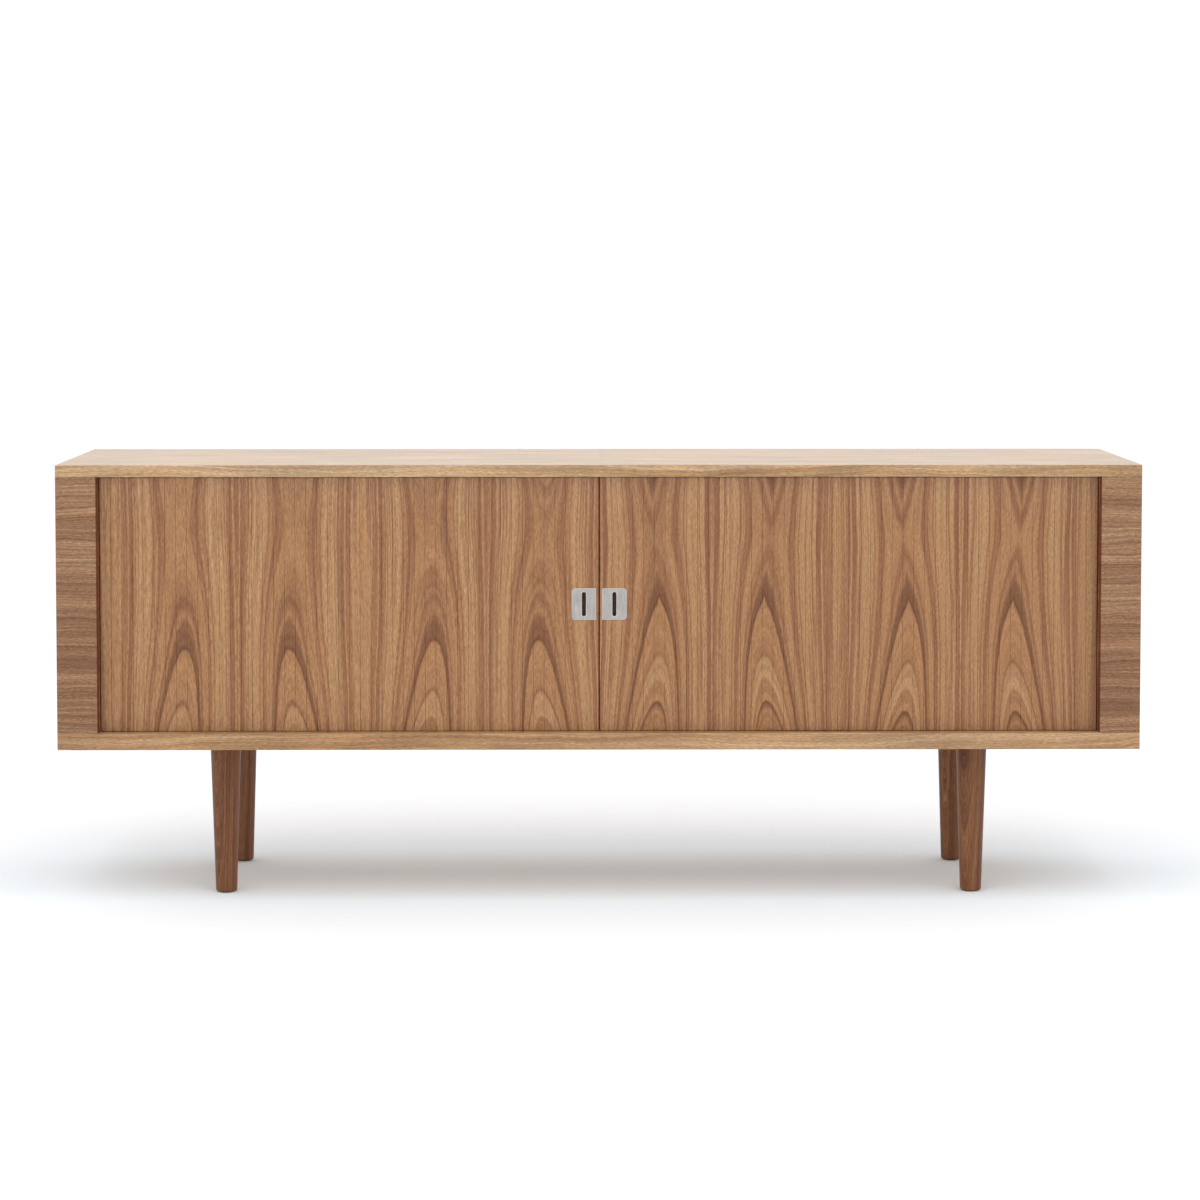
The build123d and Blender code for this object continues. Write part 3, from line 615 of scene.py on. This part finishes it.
def mesh_of(node):
    """A CAD node's mesh with its faces joined up, ready to be reworked."""
    mesh = bmesh.new()
    mesh.from_mesh(nodes[node].data)
    bmesh.ops.remove_doubles(mesh, verts=mesh.verts, dist=0.005 * MM)
    bmesh.ops.dissolve_limit(mesh, angle_limit=math.radians(1), verts=mesh.verts, edges=mesh.edges)
    return mesh


def mean_x(verts):
    """The middle of some vertices along X."""
    return sum(v.co.x for v in verts) / len(verts)


def outer_x(node):
    """How far a node reaches from the middle of the case along X."""
    low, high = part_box(node)
    return max(abs(low.x), abs(high.x))


def keep_side(mesh, bend, tail):
    """Cuts the mesh at |x| = bend and keeps the run across the front, or the tail round the corner."""
    side = 1 if mean_x(mesh.verts) > 0 else -1
    everything = mesh.verts[:] + mesh.edges[:] + mesh.faces[:]
    bmesh.ops.bisect_plane(
        mesh,
        geom=everything,
        plane_co=(side * bend, 0, 0),
        plane_no=(side, 0, 0),
        clear_outer=not tail,
        clear_inner=tail,
    )
    bmesh.ops.holes_fill(mesh, edges=[e for e in mesh.edges if e.is_boundary])


def slat_islands(mesh):
    """The vertices of each slat."""
    waiting = set(mesh.verts)
    islands = []
    while waiting:
        island = {waiting.pop()}
        front = list(island)
        while front:
            around = {e.other_vert(v) for v in [front.pop()] for e in v.link_edges} - island
            island |= around
            front.extend(around)
        waiting -= island
        islands.append(island)
    return islands


def ease_slats(mesh):
    """Rounds over the long upright edges of every slat."""
    long_edges = [
        e
        for e in mesh.edges
        if e.calc_length() > 400 * MM and abs(e.verts[0].co.x - e.verts[1].co.x) < MM
    ]
    bmesh.ops.bevel(
        mesh,
        geom=long_edges,
        offset=SLAT_EASE * MM,
        offset_type="OFFSET",
        segments=3,
        profile=0.5,
        affect="EDGES",
        clamp_overlap=True,
    )


def new_piece(name, mesh, material):
    """A piece with this mesh, in the scene."""
    bmesh.ops.recalc_face_normals(mesh, faces=mesh.faces)
    data = bpy.data.meshes.new(name)
    mesh.to_mesh(data)
    mesh.free()
    data.materials.append(material)
    piece = bpy.data.objects.new(name, data)
    bpy.context.scene.collection.objects.link(piece)
    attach(piece, "root")
    return piece


def gather(piece):
    """Gives a piece its own copy of its mesh."""
    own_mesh(piece)


def make_curtain(side):
    """One door's slats and canvas: a run across the front, and its tail."""
    slats_node, canvas_node = side + "_tambour_slats", side + "_tambour_canvas"
    bend = outer_x(slats_node) - BEND_INSET * MM
    for part, tail in (("run", False), ("tail", True)):
        mesh = mesh_of(slats_node)
        others = [island for island in slat_islands(mesh) if tail != (abs(mean_x(island)) > bend)]
        bmesh.ops.delete(mesh, geom=[v for island in others for v in island], context="VERTS")
        ease_slats(mesh)
        slats = new_piece(f"{side}_slats_{part}", mesh, materials["door_veneer"])
        mesh = mesh_of(canvas_node)
        keep_side(mesh, bend, tail)
        canvas = new_piece(f"{side}_canvas_{part}", mesh, materials["canvas"])
        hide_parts(slats_node)
        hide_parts(canvas_node)
        if not tail:
            gather(slats)
            gather(canvas)


# Studio


def add_floor(size):
    """A plain pale floor, far larger than the picture, with a painted cool tint near the case that cancels
    the warm colour of its shadow.
    """
    mesh = bmesh.new()
    bmesh.ops.create_grid(mesh, x_segments=1, y_segments=1, size=size)
    data = bpy.data.meshes.new("floor")
    mesh.to_mesh(data)
    mesh.free()
    floor = bpy.data.objects.new("floor", data)
    bpy.context.scene.collection.objects.link(floor)
    shader = Shader("floor_paint")
    x, y, _ = shader.place()
    grain = shader.noise(shader.times(x, 0.01), shader.times(y, 0.01), 0.0)
    colour = shader.ramp(grain, (0.0, (0.885, 0.89, 0.905, 1.0)), (1.0, (0.905, 0.91, 0.925, 1.0)))
    # Painted shade colour: a cool tint where the case's shadow falls, cancelling the warm light bounced off
    # the wood
    away = shader.math("SQRT", shader.add(shader.times(x, x), shader.times(y, y, 9.0)))
    colour = shader.mix(shader.spread(away, 900.0, 1800.0, 1.0, 0.0), colour, FLOOR_SHADOW_TINT)
    data.materials.append(shader.finish(colour, 0.9, Specular_IOR_Level=0.0))


def add_light(name, place, target, size, power):
    """A square soft light."""
    data = bpy.data.lights.new(name, "AREA")
    data.shape = "SQUARE"
    data.size = size
    data.energy = power
    light = bpy.data.objects.new(name, data)
    light.location = place
    light.rotation_euler = (Vector(target) - Vector(place)).to_track_quat("-Z", "Y").to_euler()
    bpy.context.scene.collection.objects.link(light)


def add_studio():
    """A white room, a soft light overhead, and the floor."""
    world = bpy.data.worlds.new("studio")
    world.use_nodes = True
    background = world.node_tree.nodes["Background"]
    background.inputs["Color"].default_value = (1.0, 1.0, 1.0, 1.0)
    background.inputs["Strength"].default_value = ROOM_BRIGHTNESS
    bpy.context.scene.world = world
    bpy.context.scene.view_settings.view_transform = "Standard"
    add_floor(FLOOR_SIZE)
    add_light("overhead", LIGHT_PLACE, LIGHT_TARGET, LIGHT_SIZE, LIGHT_POWER)


def add_camera():
    """The camera, standing in front of the case and a little above it, looking slightly down."""
    front = cad_box[0][1]
    data = bpy.data.cameras.new("camera")
    data.sensor_width = 36.0
    data.lens = 99.07
    data.shift_y = -0.13
    data.clip_end = 100.0
    camera = bpy.data.objects.new("camera", data)
    camera.location = (CAMERA_X, front - CAMERA_DISTANCE, CAMERA_HEIGHT)
    camera.rotation_euler = (math.pi / 2 - CAMERA_TILT, 0.0, CAMERA_TURN)
    bpy.context.scene.collection.objects.link(camera)
    bpy.context.scene.camera = camera


materials = make_materials()
paint_nodes(materials)
make_curtain("left")
make_curtain("right")
add_studio()
add_camera()
